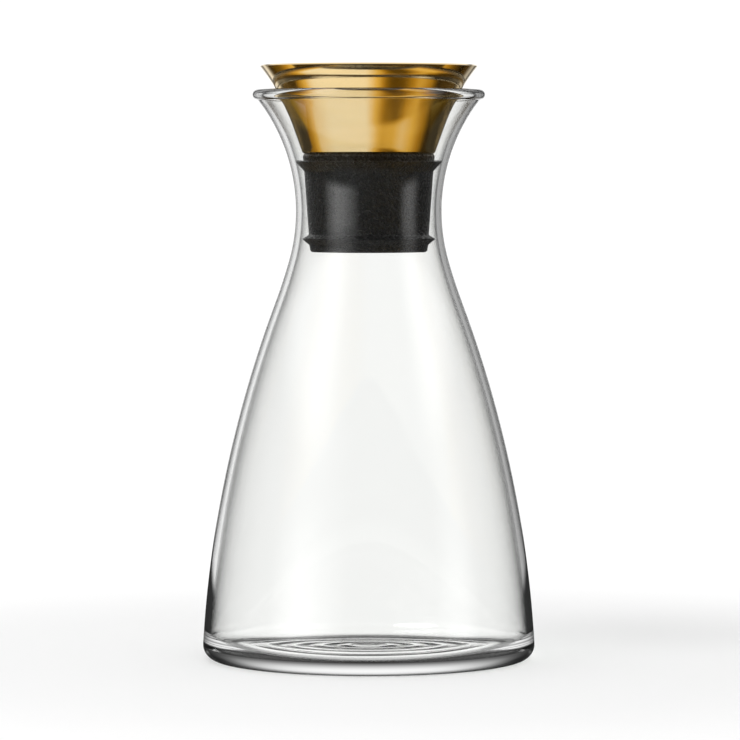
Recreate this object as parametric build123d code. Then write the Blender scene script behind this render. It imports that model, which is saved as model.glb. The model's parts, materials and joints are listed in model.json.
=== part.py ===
from build123d import *
import os
from math import acos, asin, atan, atan2, cos, degrees, hypot, pi, sin, sqrt, tan

# A glass carafe closed by a lift-out pouring stopper: a flared metal collar in a soft sleeve,
# with a weighted lid inside that tips open as the carafe is tilted and shuts as it stands up.
# Millimetres, +Z up. The origin is on the table under the middle of the foot, and -Y is the
# side that it pours from. Every outline is drawn as (radius, height) and turned about Z.

quarter_turn = pi / 2
full_turn_deg = 360

# Glass vessel
belly_radius = 67.8
waist_radius = 29.75
waist_height = 183.1
neck_rise = 47.3
rim_radius = 45.3
bead_radius = 2.08
bead_blend = 1.2
bead_touch_share = 0.1
glass_wall = 2.6
foot_corner = 6.1
foot_ring_width = 9.0
push_up = 2.7
base_thickness = 2.6
floor_corner = 9.0
floor_rise = 2.7
floor_ring_radii = (36.7, 18.8)
belly_draft = 0.0586
neck_slope_share = 1.317
shoulder_bend_share = 0.482

# Soft sleeve, which seals in the neck with two lips
lip_clearance = 0.25
fit_gap = 0.1
sleeve_above_waist = 23.8
sleeve_below_waist = 16.9
sleeve_room = 2.0
sleeve_flare = 1.7
sleeve_foot_taper = 1.4
sleeve_wall = 1.9
sleeve_corner = 1.2
sleeve_top_chamfer = 0.6
sleeve_top_chamfer_height = 1.2
top_flange = 3.2
bottom_flange = 1.6
upper_lip_above_waist = 20.6
upper_lip_drop = 4.3
upper_lip_dish = 0.9
lower_lip_below_waist = 11.2
lower_lip_drop = 2.7
lower_lip_slope = 1.4
lip_edge = 0.5
lip_root_blend = 0.8
lip_round_share = 0.35

# Flared metal collar
collar_above_rim = 11.5
collar_rim_inset = 1.0
collar_foot_overhang = 0.1
collar_cone_height = 11.0
collar_cone_angle = 0.342
collar_metal = 0.8
collar_step_drop = 0.9
collar_bend = 1.3

# Core that the sleeve is stretched over, with the seat of the lid
core_wall = 1.5
socket_depth = 2.6
seat_thickness = 2.4
seat_width = 6.2
seal_width = 2.8
seal_height = 1.2
seal_rebate = 0.8
seal_round = 0.35

# Weighted tipping lid and the guide that its stem hangs through
lid_gap = 0.2
lid_overlap = 2.6
lid_metal = 0.9
lid_rise = 1.6
lid_flat_radius = 4.6
lid_edge_round = 0.3
stem_radius = 1.6
stem_length = 31.0
stem_flange_radius = 4.0
stem_flange_height = 1.0
thread_gap = 0.05
weight_radius = 8.5
weight_height = 9.0
weight_hole_depth = 7.0
weight_chamfer = 0.8
weight_point_depth = 2.5
weight_nose_radius = 4.2
guide_height = 2.0
guide_ring_wall = 1.4
guide_hub_wall = 1.6
guide_arm_width = 3.0
guide_arms = 3
arm_turn = 90
stem_swing = 4.7

# Curves of the vessel's side, worked out so that they meet smoothly at any size
rim_height = waist_height + neck_rise
wall_middle = glass_wall / 2
rim_reach = rim_radius - (waist_radius - wall_middle)
neck_middle_bend = (rim_reach**2 + neck_rise**2) / (2 * rim_reach)
neck_bend = neck_middle_bend - wall_middle
lip_angle = atan2(neck_rise, neck_middle_bend - rim_reach)

neck_angle = neck_slope_share * atan(
    (belly_radius - waist_radius) / (waist_height - foot_corner)
)
side_reach = (
    belly_radius - foot_corner * (1 - cos(belly_draft))
    - waist_radius - neck_bend * (1 - cos(neck_angle))
)
side_drop = waist_height - neck_bend * sin(neck_angle) - foot_corner * (1 + sin(belly_draft))
side_slope = side_reach / side_drop
cosine_sum = shoulder_bend_share * cos(neck_angle) + cos(belly_draft)
sine_sum = shoulder_bend_share * sin(neck_angle) + sin(belly_draft)
bend_sum = 1 + shoulder_bend_share
steepest = atan(side_slope) + acos(
    (cosine_sum + side_slope * sine_sum) / (bend_sum * hypot(1, side_slope))
)
body_bend = side_drop / (bend_sum * sin(steepest) - sine_sum)
shoulder_bend = shoulder_bend_share * body_bend
body_centre_height = foot_corner * (1 + sin(belly_draft)) - body_bend * sin(belly_draft)
floor_angle = asin(
    (base_thickness + floor_corner - body_centre_height)
    / (body_bend - glass_wall - floor_corner)
)

# Levels and radii of the stopper, which all follow the neck
waist_bore = waist_radius - glass_wall
sleeve_top = waist_height + sleeve_above_waist
sleeve_bottom = waist_height - sleeve_below_waist
sleeve_waist_radius = waist_bore - sleeve_room
sleeve_top_radius = sleeve_waist_radius + sleeve_flare
sleeve_foot_radius = sleeve_waist_radius - sleeve_foot_taper
core_top = sleeve_top - top_flange
core_bottom = sleeve_bottom + bottom_flange
core_top_radius = sleeve_top_radius - sleeve_wall - fit_gap
core_foot_radius = sleeve_foot_radius - sleeve_wall - fit_gap
core_draft = (core_top_radius - core_foot_radius) / (core_top - core_bottom)
core_foot_bore = core_foot_radius - core_wall
socket_radius = core_top_radius - core_wall - core_draft * socket_depth
spigot_radius = socket_radius - fit_gap
seat_top = core_top - socket_depth
seat_under = seat_top - seat_thickness
seat_under_bore = core_foot_bore + core_draft * (seat_under - core_bottom)
throat_radius = seat_under_bore - seat_width
lid_radius = throat_radius + lid_overlap
lid_level = seat_top - seal_rebate + seal_height + lid_gap
stem_top = lid_level + lid_rise
weight_top = stem_top - stem_length + weight_hole_depth
collar_foot_radius = sleeve_top_radius + collar_foot_overhang
collar_rim = (rim_radius - collar_rim_inset, rim_height + collar_above_rim)


def neck_bore(height):
    """Radius of the neck's inner face at a height, along the bend that the waist and rim share."""
    inner_bend = neck_bend + glass_wall
    return waist_radius + neck_bend - sqrt(inner_bend**2 - (height - waist_height) ** 2)


def sleeve_radius(height):
    """Outer radius of the sleeve's plain side, which widens in a straight taper above the waist."""
    taper = sleeve_flare / sleeve_above_waist
    return sleeve_waist_radius + taper * (height - waist_height)


def collar_step(radius):
    """Height of the collar's sloping step, which rests on the sleeve, at a radius."""
    slope = collar_step_drop / (collar_foot_radius - spigot_radius)
    return sleeve_top - slope * (collar_foot_radius - radius)


def arc(start, tangent, bend, turn):
    """Arc from a point along a tangent; turn is in radians, positive to the left."""
    return JernArc(start, tangent, bend, degrees(turn))


def wave(edge, reach, rise):
    """Smooth S that leaves an edge level, runs inwards and up, and ends level."""
    turn = 2 * atan(rise / reach)
    bend = reach / (2 * sin(turn))
    outer = arc(edge, (-1, 0), bend, -turn)
    inner = arc(outer @ 1, outer % 1, bend, turn)
    return [outer, inner]


def rippled_mound(edge, rise):
    """Waves from a level edge up to the axis, which lie level at each ring of the floor."""
    ends = [*floor_ring_radii, 0]
    curves = []
    for end in ends:
        curves += wave(edge, edge.X - end, rise / len(ends))
        edge = curves[-1] @ 1
    return curves


def side_line(inset, last_angle):
    """The vessel's side from lip to foot, set in from the outer face: four arcs, all tangent."""
    waist = (waist_radius - inset, waist_height)
    lip = arc(waist, (0, 1), neck_bend + inset, -lip_angle)
    neck = arc(waist, (0, -1), neck_bend + inset, neck_angle)
    shoulder = arc(neck @ 1, neck % 1, shoulder_bend + inset, steepest - neck_angle)
    body = arc(shoulder @ 1, shoulder % 1, body_bend - inset, last_angle - steepest)
    return [lip, neck, shoulder, body]


def turned(outline):
    """Solid of revolution about Z from a face drawn as (radius, height)."""
    return revolve(Plane.XZ * outline, Axis.Z)


def corner_near(outline, point):
    """The outline's corner that lies nearest to a point."""
    return outline.vertices().sort_by_distance(point)[0]


def rounded(outline, points, radius):
    """Round the outline's corners that lie at the points."""
    for point in points:
        outline = fillet(corner_near(outline, point), radius)
    return outline


def glass_vessel():
    """Blown vessel: flared neck with a bead, long convex body, rippled base pushed up inside."""
    outer = side_line(0, belly_draft)
    foot = arc(outer[-1] @ 1, outer[-1] % 1, foot_corner, -quarter_turn - belly_draft)
    ring = Line(foot @ 1, (belly_radius - foot_corner - foot_ring_width, 0))
    under = rippled_mound(ring @ 1, push_up)
    inner = side_line(glass_wall, floor_angle)
    bowl = arc(inner[-1] @ 1, inner[-1] % 1, floor_corner, -quarter_turn - floor_angle)
    floor = rippled_mound(bowl @ 1, floor_rise)
    axis = Line(under[-1] @ 1, floor[-1] @ 1)
    rim = Line(outer[0] @ 1, inner[0] @ 1)
    outline = make_face([*outer, foot, ring, *under, axis, *floor, bowl, *inner, rim])
    bead_middle = Vector(rim_radius, rim_height)
    outline = outline + Pos(bead_middle) * Circle(bead_radius)
    on_bead = [
        Vector(v) for v in outline.vertices()
        if abs((Vector(v) - bead_middle).length / bead_radius - 1) < bead_touch_share
    ]
    below = [point for point in on_bead if point.Y < rim_height]
    return turned(rounded(outline, below, bead_blend))


def stopper_sleeve():
    """Moulded sleeve: tapered wall, wiper lip flared up, sealing lip below, flanges at both ends."""
    upper_tip = waist_height + upper_lip_above_waist
    upper_root = upper_tip - upper_lip_drop
    upper_reach = neck_bore(upper_tip) - lip_clearance
    lower_tip = waist_height - lower_lip_below_waist
    lower_top = lower_tip + lower_lip_slope
    lower_root = lower_tip - lower_lip_drop
    lower_reach = waist_bore - lip_clearance
    shoulder_radius = sleeve_top_radius - sleeve_top_chamfer
    foot = (sleeve_foot_radius, sleeve_bottom)
    lower_foot = (sleeve_foot_radius + lip_edge, lower_root)
    tips = [
        (lower_reach, lower_tip - lip_edge), (lower_reach, lower_tip),
        (upper_reach, upper_tip - lip_edge), (upper_reach, upper_tip),
    ]
    roots = [
        (sleeve_radius(lower_top), lower_top),
        (sleeve_radius(upper_root), upper_root),
        (sleeve_radius(upper_tip), upper_tip - upper_lip_dish),
    ]
    core_line = [
        (core_top_radius + fit_gap, core_top),
        (core_foot_radius + fit_gap, core_bottom),
    ]
    mouth = (socket_radius, collar_step(socket_radius))
    points = [
        foot, lower_foot, tips[0], tips[1], roots[0], roots[1], tips[2], tips[3], roots[2],
        (sleeve_top_radius, sleeve_top - sleeve_top_chamfer_height),
        (shoulder_radius, collar_step(shoulder_radius)),
        mouth,
        (socket_radius, core_top),
        *core_line,
        (core_foot_bore, core_bottom),
        (core_foot_bore, sleeve_bottom),
    ]
    outline = make_face(Polyline(*points, close=True))
    outline = rounded(outline, [foot], sleeve_corner)
    outline = rounded(outline, [lower_foot, *roots], lip_root_blend)
    outline = rounded(outline, tips, lip_edge * lip_round_share)
    outline = rounded(outline, [mouth], collar_bend + fit_gap)
    return turned(outline)


def pour_collar():
    """Spun metal collar: spigot, step over the sleeve, straight cone, then a flare to the rim."""
    cone_foot = (collar_foot_radius, sleeve_top)
    cone_top = (
        collar_foot_radius + collar_cone_height * tan(collar_cone_angle),
        sleeve_top + collar_cone_height,
    )
    lower = FilletPolyline(
        (spigot_radius, seat_top),
        (spigot_radius, sleeve_top - collar_step_drop),
        cone_foot,
        cone_top,
        radius=collar_bend,
    )
    flare = TangentArc(cone_top, collar_rim, tangent=lower % 1)
    outer = Wire([*lower.edges(), flare])
    return turned(make_face(outer.offset_2d(collar_metal, side=Side.LEFT)))


def valve_core():
    """Moulded core: tapered tube with a socket for the collar and a seat ledge round the throat."""
    points = [
        (core_foot_radius, core_bottom),
        (core_top_radius, core_top),
        (socket_radius, core_top),
        (socket_radius, seat_top),
        (throat_radius + seal_width, seat_top),
        (throat_radius + seal_width, seat_top - seal_rebate),
        (throat_radius, seat_top - seal_rebate),
        (throat_radius, seat_under),
        (seat_under_bore, seat_under),
        (core_foot_bore, core_bottom),
    ]
    return turned(make_face(Polyline(*points, close=True)))


def seat_seal():
    """Soft ring that lies in the rebate round the throat, and that the lid shuts on."""
    bottom = seat_top - seal_rebate
    inner, outer = throat_radius, throat_radius + seal_width - fit_gap
    top = bottom + seal_height
    crest = [(inner, top), (outer, top)]
    points = [(inner, bottom), (outer, bottom), crest[1], crest[0]]
    outline = make_face(Polyline(*points, close=True))
    return turned(rounded(outline, crest, seal_round))


def stem_guide():
    """Clip-in spider under the seat: outer ring, three arms and a hub that the stem hangs through."""
    top, bottom = seat_under, seat_under - guide_height
    ring_radius = core_foot_bore + core_draft * (bottom - core_bottom) - fit_gap
    hub_bore = stem_radius + stem_swing
    hub_radius = hub_bore + guide_hub_wall
    ring = Pos(0, 0, bottom) * extrude(
        Circle(ring_radius) - Circle(ring_radius - guide_ring_wall), guide_height
    )
    arm_length = ring_radius - guide_ring_wall / 2
    arm = Rectangle(arm_length, guide_arm_width, align=(Align.MIN, Align.CENTER))
    arms = Sketch() + [
        Rot(0, 0, arm_turn + full_turn_deg / guide_arms * k) * arm for k in range(guide_arms)
    ]
    spider = Pos(0, 0, bottom) * extrude(
        arms + Circle(hub_radius) - Circle(hub_bore), guide_height
    )
    return ring + spider


def tilt_lid():
    """Pressed lid: level rim that lies on the seal, raised in the middle over the stem."""
    rim_inner = lid_radius - lid_overlap - lid_metal
    under = [Line((lid_radius, lid_level), (rim_inner, lid_level))]
    turn = 2 * atan(lid_rise / (rim_inner - lid_flat_radius))
    bend = (rim_inner - lid_flat_radius) / (2 * sin(turn))
    rise = arc(under[0] @ 1, (-1, 0), bend, -turn)
    crown = arc(rise @ 1, rise % 1, bend, turn)
    middle = Line(crown @ 1, (0, lid_level + lid_rise))
    lower = Wire([*under, rise, crown, middle])
    upper = Pos(0, lid_metal) * lower
    sides = [Line(lower @ 0, upper @ 0), Line(lower @ 1, upper @ 1)]
    outline = make_face([*lower.edges(), *upper.edges(), *sides])
    outline = rounded(outline, [upper @ 0], lid_edge_round)
    return turned(outline)


def lid_stem():
    """Turned stem with a flange under the lid; its plain end screws into the weight."""
    rod = Pos(0, 0, stem_top - stem_length) * Cylinder(
        stem_radius, stem_length, align=(Align.CENTER, Align.CENTER, Align.MIN)
    )
    flange = Pos(0, 0, stem_top) * Cylinder(
        stem_flange_radius, stem_flange_height, align=(Align.CENTER, Align.CENTER, Align.MAX)
    )
    return rod + flange


def lid_weight():
    """Turned weight with a bored top for the stem and a blunt cone below."""
    bottom = weight_top - weight_height
    points = [
        (0, weight_top - weight_hole_depth),
        (stem_radius + thread_gap, weight_top - weight_hole_depth),
        (stem_radius + thread_gap, weight_top),
        (weight_radius - weight_chamfer, weight_top),
        (weight_radius, weight_top - weight_chamfer),
        (weight_radius, bottom + weight_point_depth),
        (weight_nose_radius, bottom),
        (0, bottom),
    ]
    return turned(make_face(Polyline(*points, close=True)))


os.makedirs("parts", exist_ok=True)
pieces = (
    glass_vessel, stopper_sleeve, pour_collar, valve_core, seat_seal, stem_guide, tilt_lid,
    lid_stem, lid_weight,
)
for make in pieces:
    export_step(make(), f"parts/{make.__name__}.step")
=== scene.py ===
import json
import math
import bpy
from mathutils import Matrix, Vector

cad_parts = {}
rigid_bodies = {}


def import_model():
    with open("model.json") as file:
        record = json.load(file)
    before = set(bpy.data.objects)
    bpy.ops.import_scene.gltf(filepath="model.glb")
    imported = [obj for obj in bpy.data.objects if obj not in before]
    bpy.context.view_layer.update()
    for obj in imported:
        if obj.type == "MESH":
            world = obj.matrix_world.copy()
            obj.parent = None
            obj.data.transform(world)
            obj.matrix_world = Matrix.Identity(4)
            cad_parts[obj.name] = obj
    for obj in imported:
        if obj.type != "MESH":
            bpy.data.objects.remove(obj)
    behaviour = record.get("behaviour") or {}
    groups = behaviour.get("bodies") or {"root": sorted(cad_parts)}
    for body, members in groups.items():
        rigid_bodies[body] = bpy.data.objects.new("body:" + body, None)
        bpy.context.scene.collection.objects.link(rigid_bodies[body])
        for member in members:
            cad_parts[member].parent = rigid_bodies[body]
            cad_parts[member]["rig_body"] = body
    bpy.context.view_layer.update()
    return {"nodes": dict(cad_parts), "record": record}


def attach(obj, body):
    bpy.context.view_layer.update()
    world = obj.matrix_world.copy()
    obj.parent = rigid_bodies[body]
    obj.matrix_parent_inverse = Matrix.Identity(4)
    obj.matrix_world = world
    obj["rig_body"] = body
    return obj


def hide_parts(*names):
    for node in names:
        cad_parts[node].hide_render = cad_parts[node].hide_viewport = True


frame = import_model()
print("frame loaded:", len(frame["nodes"]), "nodes")


class Value:
    # a socket that takes part in plain sums by adding Math nodes
    def __init__(self, board, socket):
        self.board = board
        self.socket = socket

    def __add__(self, other):
        return self.board.maths("ADD", self, other)

    def __radd__(self, other):
        return self.board.maths("ADD", other, self)

    def __sub__(self, other):
        return self.board.maths("SUBTRACT", self, other)

    def __rsub__(self, other):
        return self.board.maths("SUBTRACT", other, self)

    def __mul__(self, other):
        return self.board.maths("MULTIPLY", self, other)

    def __rmul__(self, other):
        return self.board.maths("MULTIPLY", other, self)

    def __truediv__(self, other):
        return self.board.maths("DIVIDE", self, other)

    def __rtruediv__(self, other):
        return self.board.maths("DIVIDE", other, self)

    def __gt__(self, other):
        return self.board.maths("GREATER_THAN", self, other)

    def __lt__(self, other):
        return self.board.maths("LESS_THAN", self, other)


class Board:
    # a node tree that is laid out by one method
    def __init__(self, tree):
        self.tree = tree
        self.tree.nodes.clear()

    def feed(self, socket, value):
        if isinstance(value, Value):
            self.tree.links.new(value.socket, socket)
        elif hasattr(socket.default_value, "__len__") and len(value) < len(socket.default_value):
            socket.default_value = (*value, 1.0)
        else:
            socket.default_value = value

    def node(self, kind, settings=None, inputs=None, output=0):
        made = self.tree.nodes.new("ShaderNode" + kind)
        for name, value in (settings or {}).items():
            if name == "stops":
                self.stops(made.color_ramp, value)
            else:
                setattr(made, name, value)
        for name, value in (inputs or {}).items():
            self.feed(made.inputs[name], value)
        return Value(self, made.outputs[output])

    def stops(self, ramp, stops):
        while len(ramp.elements) < len(stops):
            ramp.elements.new(1.0)
        for element, (place, level) in zip(ramp.elements, stops):
            element.position = place
            colour = level if hasattr(level, "__len__") else (level,) * 3
            element.color = (*colour, 1.0)

    def axes(self, vector):
        apart = self.node("SeparateXYZ", None, {"Vector": vector}).socket.node
        return [Value(self, socket) for socket in apart.outputs]

    def maths(self, operation, *values):
        return self.node("Math", {"operation": operation}, dict(enumerate(values)))

    def fromAxis(self, x, y):
        return self.maths("SQRT", x * x + y * y)

    def smooth(self, value, low, high):
        ends = {"Value": value, "From Min": low, "From Max": high}
        return self.node("MapRange", {"interpolation_type": "SMOOTHSTEP"}, ends)

    def between(self, value, low, high):
        return self.node("MapRange", None, {"Value": value, "To Min": low, "To Max": high})

    def ramp(self, value, stops):
        return self.node("ValToRGB", {"stops": stops}, {"Fac": value})

    def blendColours(self, share, first, second, mode="MIX"):
        # Mix keeps its two colours at inputs 6 and 7, and the blended one at output 2
        ends = {"Factor": share, 6: first, 7: second}
        return self.node("Mix", {"data_type": "RGBA", "blend_type": mode}, ends, 2)

    def mixShaders(self, share, first, second):
        return self.node("MixShader", None, {0: share, 1: first, 2: second})

    def bump(self, height, strength, depth):
        return self.node("Bump", None, {"Height": height, "Strength": strength, "Distance": depth})

    def path(self, name):
        return self.node("LightPath", output=name)

    def passed(self, kind, faces):
        # 1 for light that has met at least so many faces of this kind on its way
        return self.path(kind + " Depth") > faces - 0.5

    def finish(self, shader, kind="Material"):
        out = self.tree.nodes.new("ShaderNodeOutput" + kind)
        self.tree.links.new(shader.socket, out.inputs["Surface"])


def materialBoard(name):
    material = bpy.data.materials.new(name)
    material.use_nodes = True
    return material, Board(material.node_tree)


def addObject(name, data):
    added = bpy.data.objects.new(name, data)
    bpy.context.scene.collection.objects.link(added)
    return added


camera = {
    "photoSize": 740,
    "sensor": 36.0,
    "focalPixels": 4294.6,
    "place": (0.00049, -1.7514, 0.2011),
    "tilt": 0.0473,
}

softKey = {"place": (-1.1, -0.9, 1.9), "size": 1.2, "power": 14}

room = {
    "floorHalf": 6.0,
    "floorRise": 0.0001,
    "floorColour": (0.95, 0.95, 0.95),
    # distances from the axis between which the lit floor turns into plain white
    "floorWhite": (0.16, 0.42),
    "skyLight": 0.8,
    "backLight": 1.07,
    # what polished faces see level with them, by direction in degrees: 0 is the lens, 90 is right
    "walls": (
        (-180, 1.0), (-168, 1.0), (-165, 0.2), (-160, 0.2), (-156, 1.0), (-145, 1.0), (-139, 0.2),
        (-110, 0.1), (-70, 0.03), (60, 0.03), (110, 0.04), (139, 0.1), (145, 0.5), (156, 0.5),
        (160, 0.12), (165, 0.12), (168, 1.0), (180, 1.0),
    ),
    # two soft boxes in front of the walls, with their light low down and high up
    "softBoxes": (
        (-76, 0.0), (-53, 1.0), (-43, 0.9), (-15, 0.0), (50, 0.0), (63, 0.6), (72, 0.6), (86, 0.0),
    ),
    "softBoxLight": (1.5, 0.7),
    "softBoxRise": (0.08, 0.30),
    # what takes over from the walls higher up
    "overhead": ((-180, 1.0), (-56, 1.0), (-30, 0.06), (44, 0.06), (68, 1.0), (180, 1.0)),
    "overheadRise": (0.30, 0.45),
}

# the table as polished faces see it. A ray's steepness is how much longer it is than the distance
# from the axis to where it ends
table = {
    # how light it is by direction, at three steepnesses
    "rings": (
        (0.036, (
            (-180, 0.0), (-125, 0.25), (-104, 0.55), (-88, 0.9), (-60, 1.0), (0, 0.97), (20, 0.80),
            (40, 0.80), (55, 0.87), (72, 0.80), (84, 0.60), (94, 0.42), (104, 0.05), (180, 0.0),
        )),
        (0.044, (
            (-180, 0.0), (-125, 0.25), (-105, 0.52), (-84, 0.92), (-60, 1.0), (-5, 1.0), (10, 0.78),
            (24, 0.40), (42, 0.28), (50, 0.42), (59, 0.66), (74, 0.76), (84, 0.50), (93, 0.40),
            (104, 0.02), (180, 0.0),
        )),
        (0.085, (
            (-180, 0.0), (-150, 0.02), (-133, 0.35), (-119, 0.65), (-98, 1.0), (-5, 0.97), (10, 0.83),
            (18, 0.70), (26, 0.42), (38, 0.18), (52, 0.20), (62, 0.38), (80, 0.72), (100, 0.80),
            (114, 0.60), (128, 0.35), (145, 0.05), (180, 0.0),
        )),
    ),
    "colours": (
        (0.0, (0, 0, 0)), (0.3, (0.16, 0.09, 0.006)), (0.55, (0.45, 0.25, 0.02)),
        (0.8, (0.82, 0.56, 0.13)), (1.0, (1, 1, 1)),
    ),
    # how much lighter it is over the neck than through it
    "overNeckGain": 0.12,
    # brown to rays that come neither through the neck nor steeply over it, from this steepness on
    "brown": (0.06, 0.035, 0.004),
    "overNeck": (0.042, 0.050),
    # behind the axis, rays up to this steepness come past the glass
    "besideNeck": 0.080,
    # dark close to the foot, and to flat rays
    "dark": (0.04, 0.04, 0.04),
    "darkReach": 0.11,
    "darkSteepness": 0.016,
    # distances from the axis: white within the first pair, the room beyond the second
    "underFoot": (0.058, 0.063),
    "end": (0.6, 0.9),
}


def byDirection(board, x, y, stops):
    turn = board.maths("ARCTAN2", x, 0.0 - y)
    share = turn / math.tau + 0.5
    return board.ramp(share, [(angle / 360 + 0.5, level) for angle, level in stops])


def seesRoom(board):
    # 1 for light that has come off a polished face, 0 for what is seen straight or through glass
    return board.passed("Glossy", 1)


def roomLight(board, x, y, up):
    walls = byDirection(board, x, y, room["walls"])
    overhead = byDirection(board, x, y, room["overhead"])
    level = board.blendColours(board.smooth(up, *room["overheadRise"]), walls, overhead)
    rise = board.smooth(up, *room["softBoxRise"])
    low, high = room["softBoxLight"]
    boxes = byDirection(board, x, y, room["softBoxes"]) * (low + rise * (high - low))
    return board.blendColours(1.0, level, boxes, "ADD")


def tableLight(board, x, y, z):
    reach = board.fromAxis(x, y)
    steepness = board.path("Ray Length") - reach
    lastLevel, stops = table["rings"][0]
    light = byDirection(board, x, y, stops)
    for level, stops in table["rings"][1:]:
        ring = byDirection(board, x, y, stops)
        light = board.blendColours(board.smooth(steepness, lastLevel, level), light, ring)
        lastLevel = level
    # each wall of glass has two faces
    oneWall = board.passed("Transmission", 2)
    twoWalls = board.passed("Transmission", 4)
    threeWalls = board.passed("Transmission", 6)
    outside = 1.0 - twoWalls
    gain = 1.0 + outside * table["overNeckGain"]
    seen = board.blendColours(1.0, board.ramp(light, table["colours"]), gain, "MULTIPLY")
    # the collar alone sees the rings, through the neck or steeply over it
    overNeck = board.smooth(steepness, *table["overNeck"])
    besideNeck = (y > 0) * (steepness < table["besideNeck"])
    fromAbove = overNeck * board.maths("MAXIMUM", oneWall, besideNeck)
    seen = board.blendColours(board.maths("MAXIMUM", twoWalls, fromAbove), table["brown"], seen)
    steepEnough = board.maths("MAXIMUM", steepness > table["darkSteepness"], threeWalls)
    seen = board.blendColours(steepEnough * (reach > table["darkReach"]), table["dark"], seen)
    pastFoot = board.maths("MAXIMUM", board.smooth(reach, *table["underFoot"]), twoWalls)
    seen = board.blendColours(pastFoot, (1, 1, 1), seen)
    pastEnd = board.smooth(reach, *table["end"]) * outside
    return board.blendColours(pastEnd, seen, roomLight(board, x, y, z))


def fillAir():
    world = bpy.data.worlds.new("studioAir")
    bpy.context.scene.world = world
    world.use_nodes = True
    board = Board(world.node_tree)
    x, y, z = board.axes(board.node("TexCoord", output="Generated"))
    back, sky = ((room[light],) * 3 for light in ("backLight", "skyLight"))
    plain = board.blendColours(board.path("Is Diffuse Ray"), back, sky)
    colour = board.blendColours(seesRoom(board), plain, roomLight(board, x, y, z))
    board.finish(board.node("Background", None, {"Color": colour, "Strength": 1.0}), "World")


def layFloor():
    half = room["floorHalf"]
    mesh = bpy.data.meshes.new("floor")
    corners = [(x * half, y * half, room["floorRise"]) for x, y in ((-1, -1), (1, -1), (1, 1), (-1, 1))]
    mesh.from_pydata(corners, [], [(0, 1, 2, 3)])
    floor = addObject("floor", mesh)
    material, board = materialBoard("paleFloor")
    x, y, z = board.axes(board.node("NewGeometry", output="Position"))
    lit = board.node("BsdfDiffuse", None, {"Color": room["floorColour"]})
    white = board.node("Emission", None, {"Color": (1, 1, 1), "Strength": room["backLight"]})
    # what shows through the glass is as bright as a table lit from below
    far = board.smooth(board.fromAxis(x, y), *room["floorWhite"])
    throughGlass = board.passed("Transmission", 1)
    plain = board.mixShaders(board.maths("MAXIMUM", far, throughGlass), lit, white)
    polished = board.node("Emission", None, {"Color": tableLight(board, x, y, z), "Strength": 1.0})
    board.finish(board.mixShaders(seesRoom(board), plain, polished))
    mesh.materials.append(material)


def setCamera():
    data = bpy.data.cameras.new("photoCamera")
    data.sensor_width = camera["sensor"]
    data.lens = camera["focalPixels"] / camera["photoSize"] * camera["sensor"]
    lens = addObject("photoCamera", data)
    lens.location = camera["place"]
    lens.rotation_euler = (math.pi / 2 - camera["tilt"], 0, 0)
    bpy.context.scene.camera = lens


def hangLamp():
    data = bpy.data.lights.new("softKey", "AREA")
    data.shape = "DISK"
    data.size = softKey["size"]
    data.energy = softKey["power"]
    lamp = addObject("softKey", data)
    lamp.location = softKey["place"]
    lamp.rotation_euler = (-lamp.location).to_track_quat("-Z", "Y").to_euler()
    # polished faces see the room's soft boxes instead
    lamp.visible_glossy = False


fillAir()
layFloor()
setCamera()
hangLamp()
print("studio ready")


# the turned pieces are spun again from the outline of their own node, with more steps round
lathe = {
    "steps": 256,
    # along the outline: the longest step, and the most that one bends, in radians
    "longestStep": 0.0034,
    "sharpestStep": 0.09,
    # normals further apart than this, in radians, meet in a corner
    "cornerAngle": 0.35,
    # how far off the half plane or the axis still counts as on it
    "flat": 1e-6,
    # how finely two places are told apart
    "placesPerMetre": 1e6,
}


def placeKey(place):
    return round(place.x * lathe["placesPerMetre"]), round(place.z * lathe["placesPerMetre"])


def outlineEdges(mesh):
    # the node's edges that lie in the half plane y = 0, with the two normals of the face behind each
    flat = lathe["flat"]
    inPlane = {v.index for v in mesh.vertices if abs(v.co.y) < flat and v.co.x > -flat}
    found = {}
    for face in mesh.polygons:
        if face.center.y < 0:
            continue
        loops = list(face.loop_indices)
        for pair in zip(loops, loops[1:] + loops[:1]):
            ends = [mesh.loops[i].vertex_index for i in pair]
            if not inPlane.issuperset(ends):
                continue
            places = [mesh.vertices[i].co for i in ends]
            keys = tuple(placeKey(place) for place in places)
            if keys[0] != keys[1]:
                normals = [mesh.corner_normals[i].vector for i in pair]
                found.setdefault(keys, [(p.copy(), n.copy()) for p, n in zip(places, normals)])
    return found


def chainOutline(found):
    # the edges in order, from one end to the other or once round
    after = {keys[0]: keys for keys in found}
    befores = {keys[1] for keys in found}
    starts = [key for key in after if key not in befores]
    here = starts[0] if starts else next(iter(after))
    chain = []
    while here in after and len(chain) < len(found):
        keys = after[here]
        chain.append(found[keys])
        here = keys[1]
    return chain, not starts


def curved(start, end):
    # points along a smooth curve from one outline point to the next, without the last
    (a, aNormal), (b, bNormal) = start, end
    reach = (b - a).length
    along = []
    for normal in (aNormal, bNormal):
        side = Vector((normal.z, 0, -normal.x)).normalized()
        along.append(side * (reach if side.dot(b - a) > 0 else -reach))
    bend = along[0].angle(along[1])
    count = max(1, math.ceil(reach / lathe["longestStep"]), math.ceil(bend / lathe["sharpestStep"]))
    points = []
    for k in range(count):
        t = k / count
        points.append(
            a * (2 * t**3 - 3 * t**2 + 1) + along[0] * (t**3 - 2 * t**2 + t)
            + b * (3 * t**2 - 2 * t**3) + along[1] * (t**3 - t**2)
        )
    return points


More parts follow.
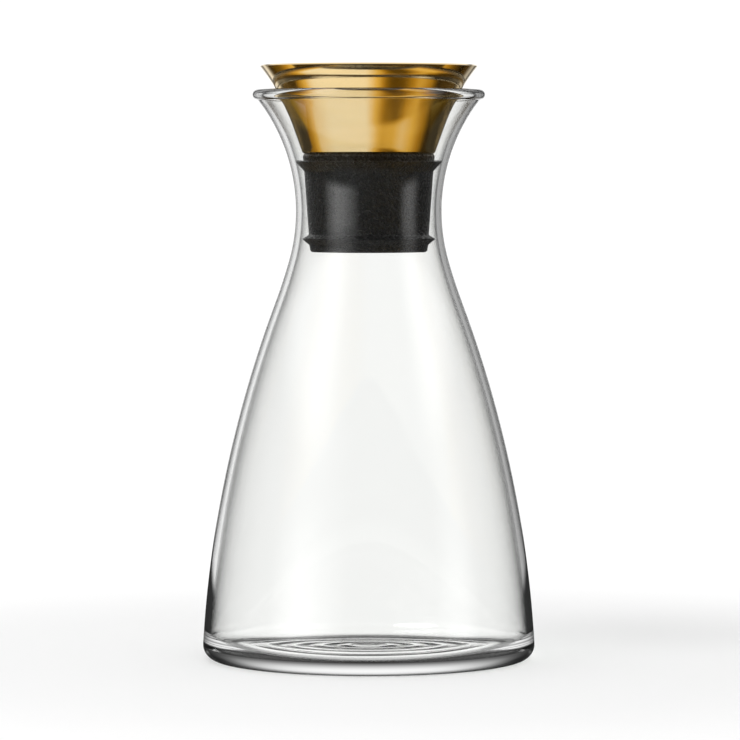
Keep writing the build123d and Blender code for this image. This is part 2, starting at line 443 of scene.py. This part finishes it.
def outlinePoints(chain, closed):
    # the points all along the outline, and which of them are corners
    outline, corners = [], set()
    previous = chain[-1][1][1] if closed else None
    for start, end in chain:
        if previous is not None and previous.angle(start[1]) > lathe["cornerAngle"]:
            corners.add(len(outline))
        outline += curved(start, end)
        previous = end[1]
    if closed:
        return outline, corners
    outline.append(chain[-1][1][0])
    # a flat middle has no edge of its own in the half plane, so it is closed up to the axis
    if outline[-1].x > lathe["flat"]:
        corners.add(len(outline) - 1)
        outline.append(Vector((0, 0, outline[-1].z)))
    if outline[0].x > lathe["flat"]:
        corners = {1} | {corner + 1 for corner in corners}
        outline.insert(0, Vector((0, 0, outline[0].z)))
    return outline, corners


def spunMesh(name, outline, corners, closed):
    steps = lathe["steps"]
    rows, vertices = [], []
    for point in outline:
        if point.x < lathe["flat"]:
            rows.append([len(vertices)] * steps)
            vertices.append((0, 0, point.z))
            continue
        rows.append(list(range(len(vertices), len(vertices) + steps)))
        for k in range(steps):
            turn = math.tau * k / steps
            vertices.append((point.x * math.cos(turn), point.x * math.sin(turn), point.z))
    faces = []
    for low, high in zip(rows, rows[1:] + (rows[:1] if closed else [])):
        for k in range(steps):
            j = (k + 1) % steps
            ring = [low[k], high[k], high[j], low[j]]
            faces.append(tuple(dict.fromkeys(ring)))
    mesh = bpy.data.meshes.new(name)
    mesh.from_pydata(vertices, [], faces)
    mesh.shade_smooth()
    sharp = {frozenset((rows[c][k], rows[c][(k + 1) % steps])) for c in corners for k in range(steps)}
    for edge in mesh.edges:
        if frozenset(edge.vertices) in sharp:
            edge.use_edge_sharp = True
    return mesh


def spin(name, body):
    chain, closed = chainOutline(outlineEdges(frame["nodes"][name].data))
    outline, corners = outlinePoints(chain, closed)
    mesh = spunMesh(name + "Turned", outline, corners, closed)
    piece = addObject(name + "Turned", mesh)
    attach(piece, body)
    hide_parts(name)
    print("turned", name, len(mesh.vertices), "points,", len(corners), "corners")
    return piece


turningMarks = {"detail": 3.0, "roughness": 0.6}


def ringGrain(board, across, along):
    # fine noise drawn out round the axis, as turning and polishing leave it
    x, y, z = board.axes(board.node("TexCoord", output="Object"))
    turn = board.maths("ARCTAN2", y, x)
    place = {"X": board.fromAxis(x, y) * across, "Y": turn * along, "Z": z * across}
    return board.node("TexNoise", None, {
        "Vector": board.node("CombineXYZ", None, place),
        "Scale": 1.0,
        "Detail": turningMarks["detail"],
        "Roughness": turningMarks["roughness"],
    })


def specks(board, perMetre, detail=2.0):
    place = board.node("TexCoord", output="Object")
    return board.node("TexNoise", None, {"Vector": place, "Scale": perMetre, "Detail": detail})


glassLook = {
    "tint": (0.990, 0.995, 0.986),
    "ior": 1.5,
    # painted shade: how the colour darkens from square on to edge on, standing in for the dark
    # surroundings seen through the glass's edges: in the wall, the bead and the heel
    "wallPaintedShade": (
        (0.0, 1.0), (0.5, 1.0), (0.62, 0.92), (0.72, 0.70), (0.80, 0.36), (0.87, 0.18), (1.0, 0.12),
    ),
    "beadPaintedShade": ((0.0, 1.0), (0.30, 1.0), (0.55, 0.85), (0.70, 0.40), (0.80, 0.03), (1.0, 0.0)),
    "heelPaintedShade": ((0.0, 1.0), (0.30, 1.0), (0.44, 0.75), (0.55, 0.22), (0.66, 0.02), (1.0, 0.0)),
    # and in the floor, where painted shade darkens the ripples' slopes into dark rings
    "floorPaintedShade": ((0.0, 1.0), (0.82, 1.0), (0.88, 0.85), (0.93, 0.15), (0.97, 0.01)),
    # heights over which the bead and the heel take over from the wall, then the floor's own limits
    "beadLevel": (0.2280, 0.2292),
    "heelLevel": (0.0070, 0.0030),
    "floorLevel": 0.010,
    "floorReach": (0.056, 0.050),
    # rings left in the floor, and the slow noise that they wander with
    "ringsPerMetre": 560.0,
    "ringWander": 0.9,
    "ringDepth": 0.00042,
    "slowNoise": (24.0, 1.0),
    # scuffs under the foot, up to the first height
    "wearHeight": (0.0012, 0.0),
    "scuffNoise": (900.0, 4.0),
    "scuffLimits": (0.5, 0.75),
    "wearRoughness": 0.12,
    "shadow": (0.93, 0.94, 0.93),
}


def clearGlass():
    material, board = materialBoard("clearGlass")
    x, y, z = board.axes(board.node("TexCoord", output="Object"))
    reach = board.fromAxis(x, y)
    onBead = board.smooth(z, *glassLook["beadLevel"])
    onHeel = board.smooth(z, *glassLook["heelLevel"])
    onFloor = board.smooth(reach, *glassLook["floorReach"]) * (z < glassLook["floorLevel"])
    sway = specks(board, *glassLook["slowNoise"]) * glassLook["ringWander"]
    rings = board.maths("SINE", reach * glassLook["ringsPerMetre"] + sway)
    bump = board.bump(rings * onFloor, 1.0, glassLook["ringDepth"])
    facing = board.node("LayerWeight", output="Facing")
    slant = board.node("LayerWeight", None, {"Normal": bump}, "Facing")
    # painted shade: the glass colour darkens towards edge on, for the dark surroundings that its edges
    # show
    edge = board.ramp(facing, glassLook["wallPaintedShade"])
    edge = board.blendColours(onBead, edge, board.ramp(facing, glassLook["beadPaintedShade"]))
    edge = board.blendColours(onHeel, edge, board.ramp(facing, glassLook["heelPaintedShade"]))
    # painted shade: dark rings where the floor's ripples slope away
    edge = board.blendColours(onFloor, edge, board.ramp(slant, glassLook["floorPaintedShade"]))
    scuffs = board.smooth(specks(board, *glassLook["scuffNoise"]), *glassLook["scuffLimits"])
    worn = board.smooth(z, *glassLook["wearHeight"]) * scuffs * glassLook["wearRoughness"]
    glass = board.node("BsdfPrincipled", None, {
        "Base Color": board.blendColours(1.0, glassLook["tint"], edge, "MULTIPLY"),
        "Roughness": worn,
        "IOR": glassLook["ior"],
        "Transmission Weight": 1.0,
        "Normal": bump,
    })
    clear = board.node("BsdfTransparent", None, {"Color": glassLook["shadow"]})
    board.finish(board.mixShaders(board.path("Is Shadow Ray"), glass, clear))
    return material


goldLook = {
    "pale": (0.87, 0.69, 0.40),
    "deep": (0.84, 0.645, 0.33),
    "roughness": (0.06, 0.13),
    "brushing": 0.6,
    # noise to a metre across the lines and to a radian along them
    "lines": (5200.0, 1.6),
    "bands": (260.0, 0.8),
    "lineStrength": 0.5,
    "lineDepth": 0.000004,
}


def goldSteel():
    material, board = materialBoard("goldSteel")
    lines = ringGrain(board, *goldLook["lines"])
    bands = ringGrain(board, *goldLook["bands"])
    board.finish(board.node("BsdfPrincipled", None, {
        "Base Color": board.blendColours(bands, goldLook["deep"], goldLook["pale"]),
        "Roughness": board.between(lines, *goldLook["roughness"]),
        "Metallic": 1.0,
        "Anisotropic": goldLook["brushing"],
        "Normal": board.bump(lines, goldLook["lineStrength"], goldLook["lineDepth"]),
    }))
    return material


siliconeLook = {
    "dark": (0.004, 0.004, 0.004),
    # pale specks in the colour: partly dust, partly painted glints for the sparkle of the grain
    "dustAndGlintColour": (0.022, 0.022, 0.022),
    "roughness": (0.16, 0.42),
    "shine": 0.45,
    "grain": (900.0, 3.0),
    "grainDepth": 0.00062,
    "dustAndGlintSpecks": 1440.0,
    "dustAndGlintLimits": (0.52, 0.72),
}


def blackSilicone():
    material, board = materialBoard("blackSilicone")
    grain = specks(board, *siliconeLook["grain"])
    # pale specks: partly dust, partly painted glints
    dustAndGlintSpecks = board.smooth(specks(board, siliconeLook["dustAndGlintSpecks"]), *siliconeLook["dustAndGlintLimits"])
    board.finish(board.node("BsdfPrincipled", None, {
        "Base Color": board.blendColours(dustAndGlintSpecks, siliconeLook["dark"], siliconeLook["dustAndGlintColour"]),
        "Roughness": board.between(grain, *siliconeLook["roughness"]),
        "Specular IOR Level": siliconeLook["shine"],
        "Normal": board.bump(grain, 1.0, siliconeLook["grainDepth"]),
    }))
    return material


plasticLook = {
    "dark": (0.009, 0.009, 0.010),
    "pale": (0.016, 0.016, 0.017),
    "roughness": (0.28, 0.46),
    "patches": 90.0,
    "grain": 3200.0,
    "grainStrength": 0.4,
    "grainDepth": 0.00006,
}


def blackPlastic():
    material, board = materialBoard("blackPlastic")
    grain = specks(board, plasticLook["grain"])
    patches = specks(board, plasticLook["patches"])
    board.finish(board.node("BsdfPrincipled", None, {
        "Base Color": board.blendColours(patches, plasticLook["dark"], plasticLook["pale"]),
        "Roughness": board.between(patches, *plasticLook["roughness"]),
        "Normal": board.bump(grain, plasticLook["grainStrength"], plasticLook["grainDepth"]),
    }))
    return material


steelLook = {
    "dark": (0.50, 0.50, 0.51),
    "pale": (0.68, 0.68, 0.68),
    "roughness": (0.16, 0.34),
    "lines": (4200.0, 0.5),
    "lineStrength": 0.6,
    "lineDepth": 0.00001,
}


def bareSteel():
    material, board = materialBoard("bareSteel")
    lines = ringGrain(board, *steelLook["lines"])
    board.finish(board.node("BsdfPrincipled", None, {
        "Base Color": board.blendColours(lines, steelLook["dark"], steelLook["pale"]),
        "Roughness": board.between(lines, *steelLook["roughness"]),
        "Metallic": 1.0,
        "Normal": board.bump(lines, steelLook["lineStrength"], steelLook["lineDepth"]),
    }))
    return material


finishes = {
    "clear_glass": clearGlass(),
    "gold_steel": goldSteel(),
    "black_silicone": blackSilicone(),
    "black_plastic": blackPlastic(),
    "bare_steel": bareSteel(),
}
turned = ("glass_vessel", "pour_collar", "stopper_sleeve", "tilt_lid")
for part in frame["record"]["subparts"]:
    node, slot = frame["nodes"][part["node"]], part["material_slot"]
    if part["node"] in turned:
        spin(part["node"], node["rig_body"]).data.materials.append(finishes[slot])
    else:
        for holder in node.material_slots:
            holder.material = finishes[slot]
print("finishes on:", ", ".join(finishes))

bpy.context.scene.view_settings.view_transform = "Standard"
